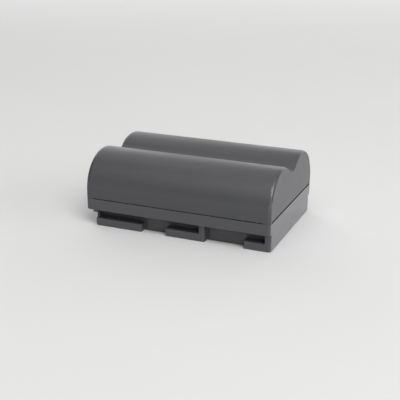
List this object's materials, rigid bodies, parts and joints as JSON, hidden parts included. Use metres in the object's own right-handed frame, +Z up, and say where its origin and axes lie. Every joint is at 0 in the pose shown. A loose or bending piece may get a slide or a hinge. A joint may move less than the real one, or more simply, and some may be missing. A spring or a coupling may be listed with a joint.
{
  "type": "camera battery",
  "caption": "Rechargeable camera battery pack: a grey two-part case with long round humps over its cells, hooked side rails below the seam and recessed terminals at one end.",
  "frame": {"origin": "centre of the case's outline on the plane that it lies on", "axes": "+X along the length to the closed end, +Z up through the humps"},
  "size_m": [0.056, 0.0396, 0.0213],
  "materials": {
    "case_plastic": "fine moulded grain, satin",
    "can_steel": "nickel plated",
    "sleeve_film": "shrunk film",
    "fibre_sheet": "fibre paper",
    "nickel_strip": "bare strip",
    "board_laminate": "solder mask",
    "chip_resin": "moulded",
    "chip_ceramic": "fired",
    "contact_plating": "gold plated",
    "bedding_foam": "soft foam"
  },
  "bodies": {
    "root": {"upper_case": "case_plastic", "lower_case": "case_plastic", "front_cell": "can_steel", "rear_cell": "can_steel", "front_cell_sleeve": "sleeve_film", "rear_cell_sleeve": "sleeve_film", "front_cell_ring": "fibre_sheet", "rear_cell_ring": "fibre_sheet", "link_insulator": "fibre_sheet", "board_insulator": "fibre_sheet", "series_link": "nickel_strip", "positive_strip": "nickel_strip", "negative_strip": "nickel_strip", "midpoint_ribbon": "nickel_strip", "circuit_board": "board_laminate", "protection_chip": "chip_resin", "power_transistor": "chip_resin", "fuse": "chip_ceramic", "thermistor": "chip_ceramic", "chip_parts": "chip_ceramic", "positive_contact": "contact_plating", "temperature_contact": "contact_plating", "data_contact": "contact_plating", "negative_contact": "contact_plating", "front_cell_pad": "bedding_foam", "rear_cell_pad": "bedding_foam"}
  },
  "joints": []
}
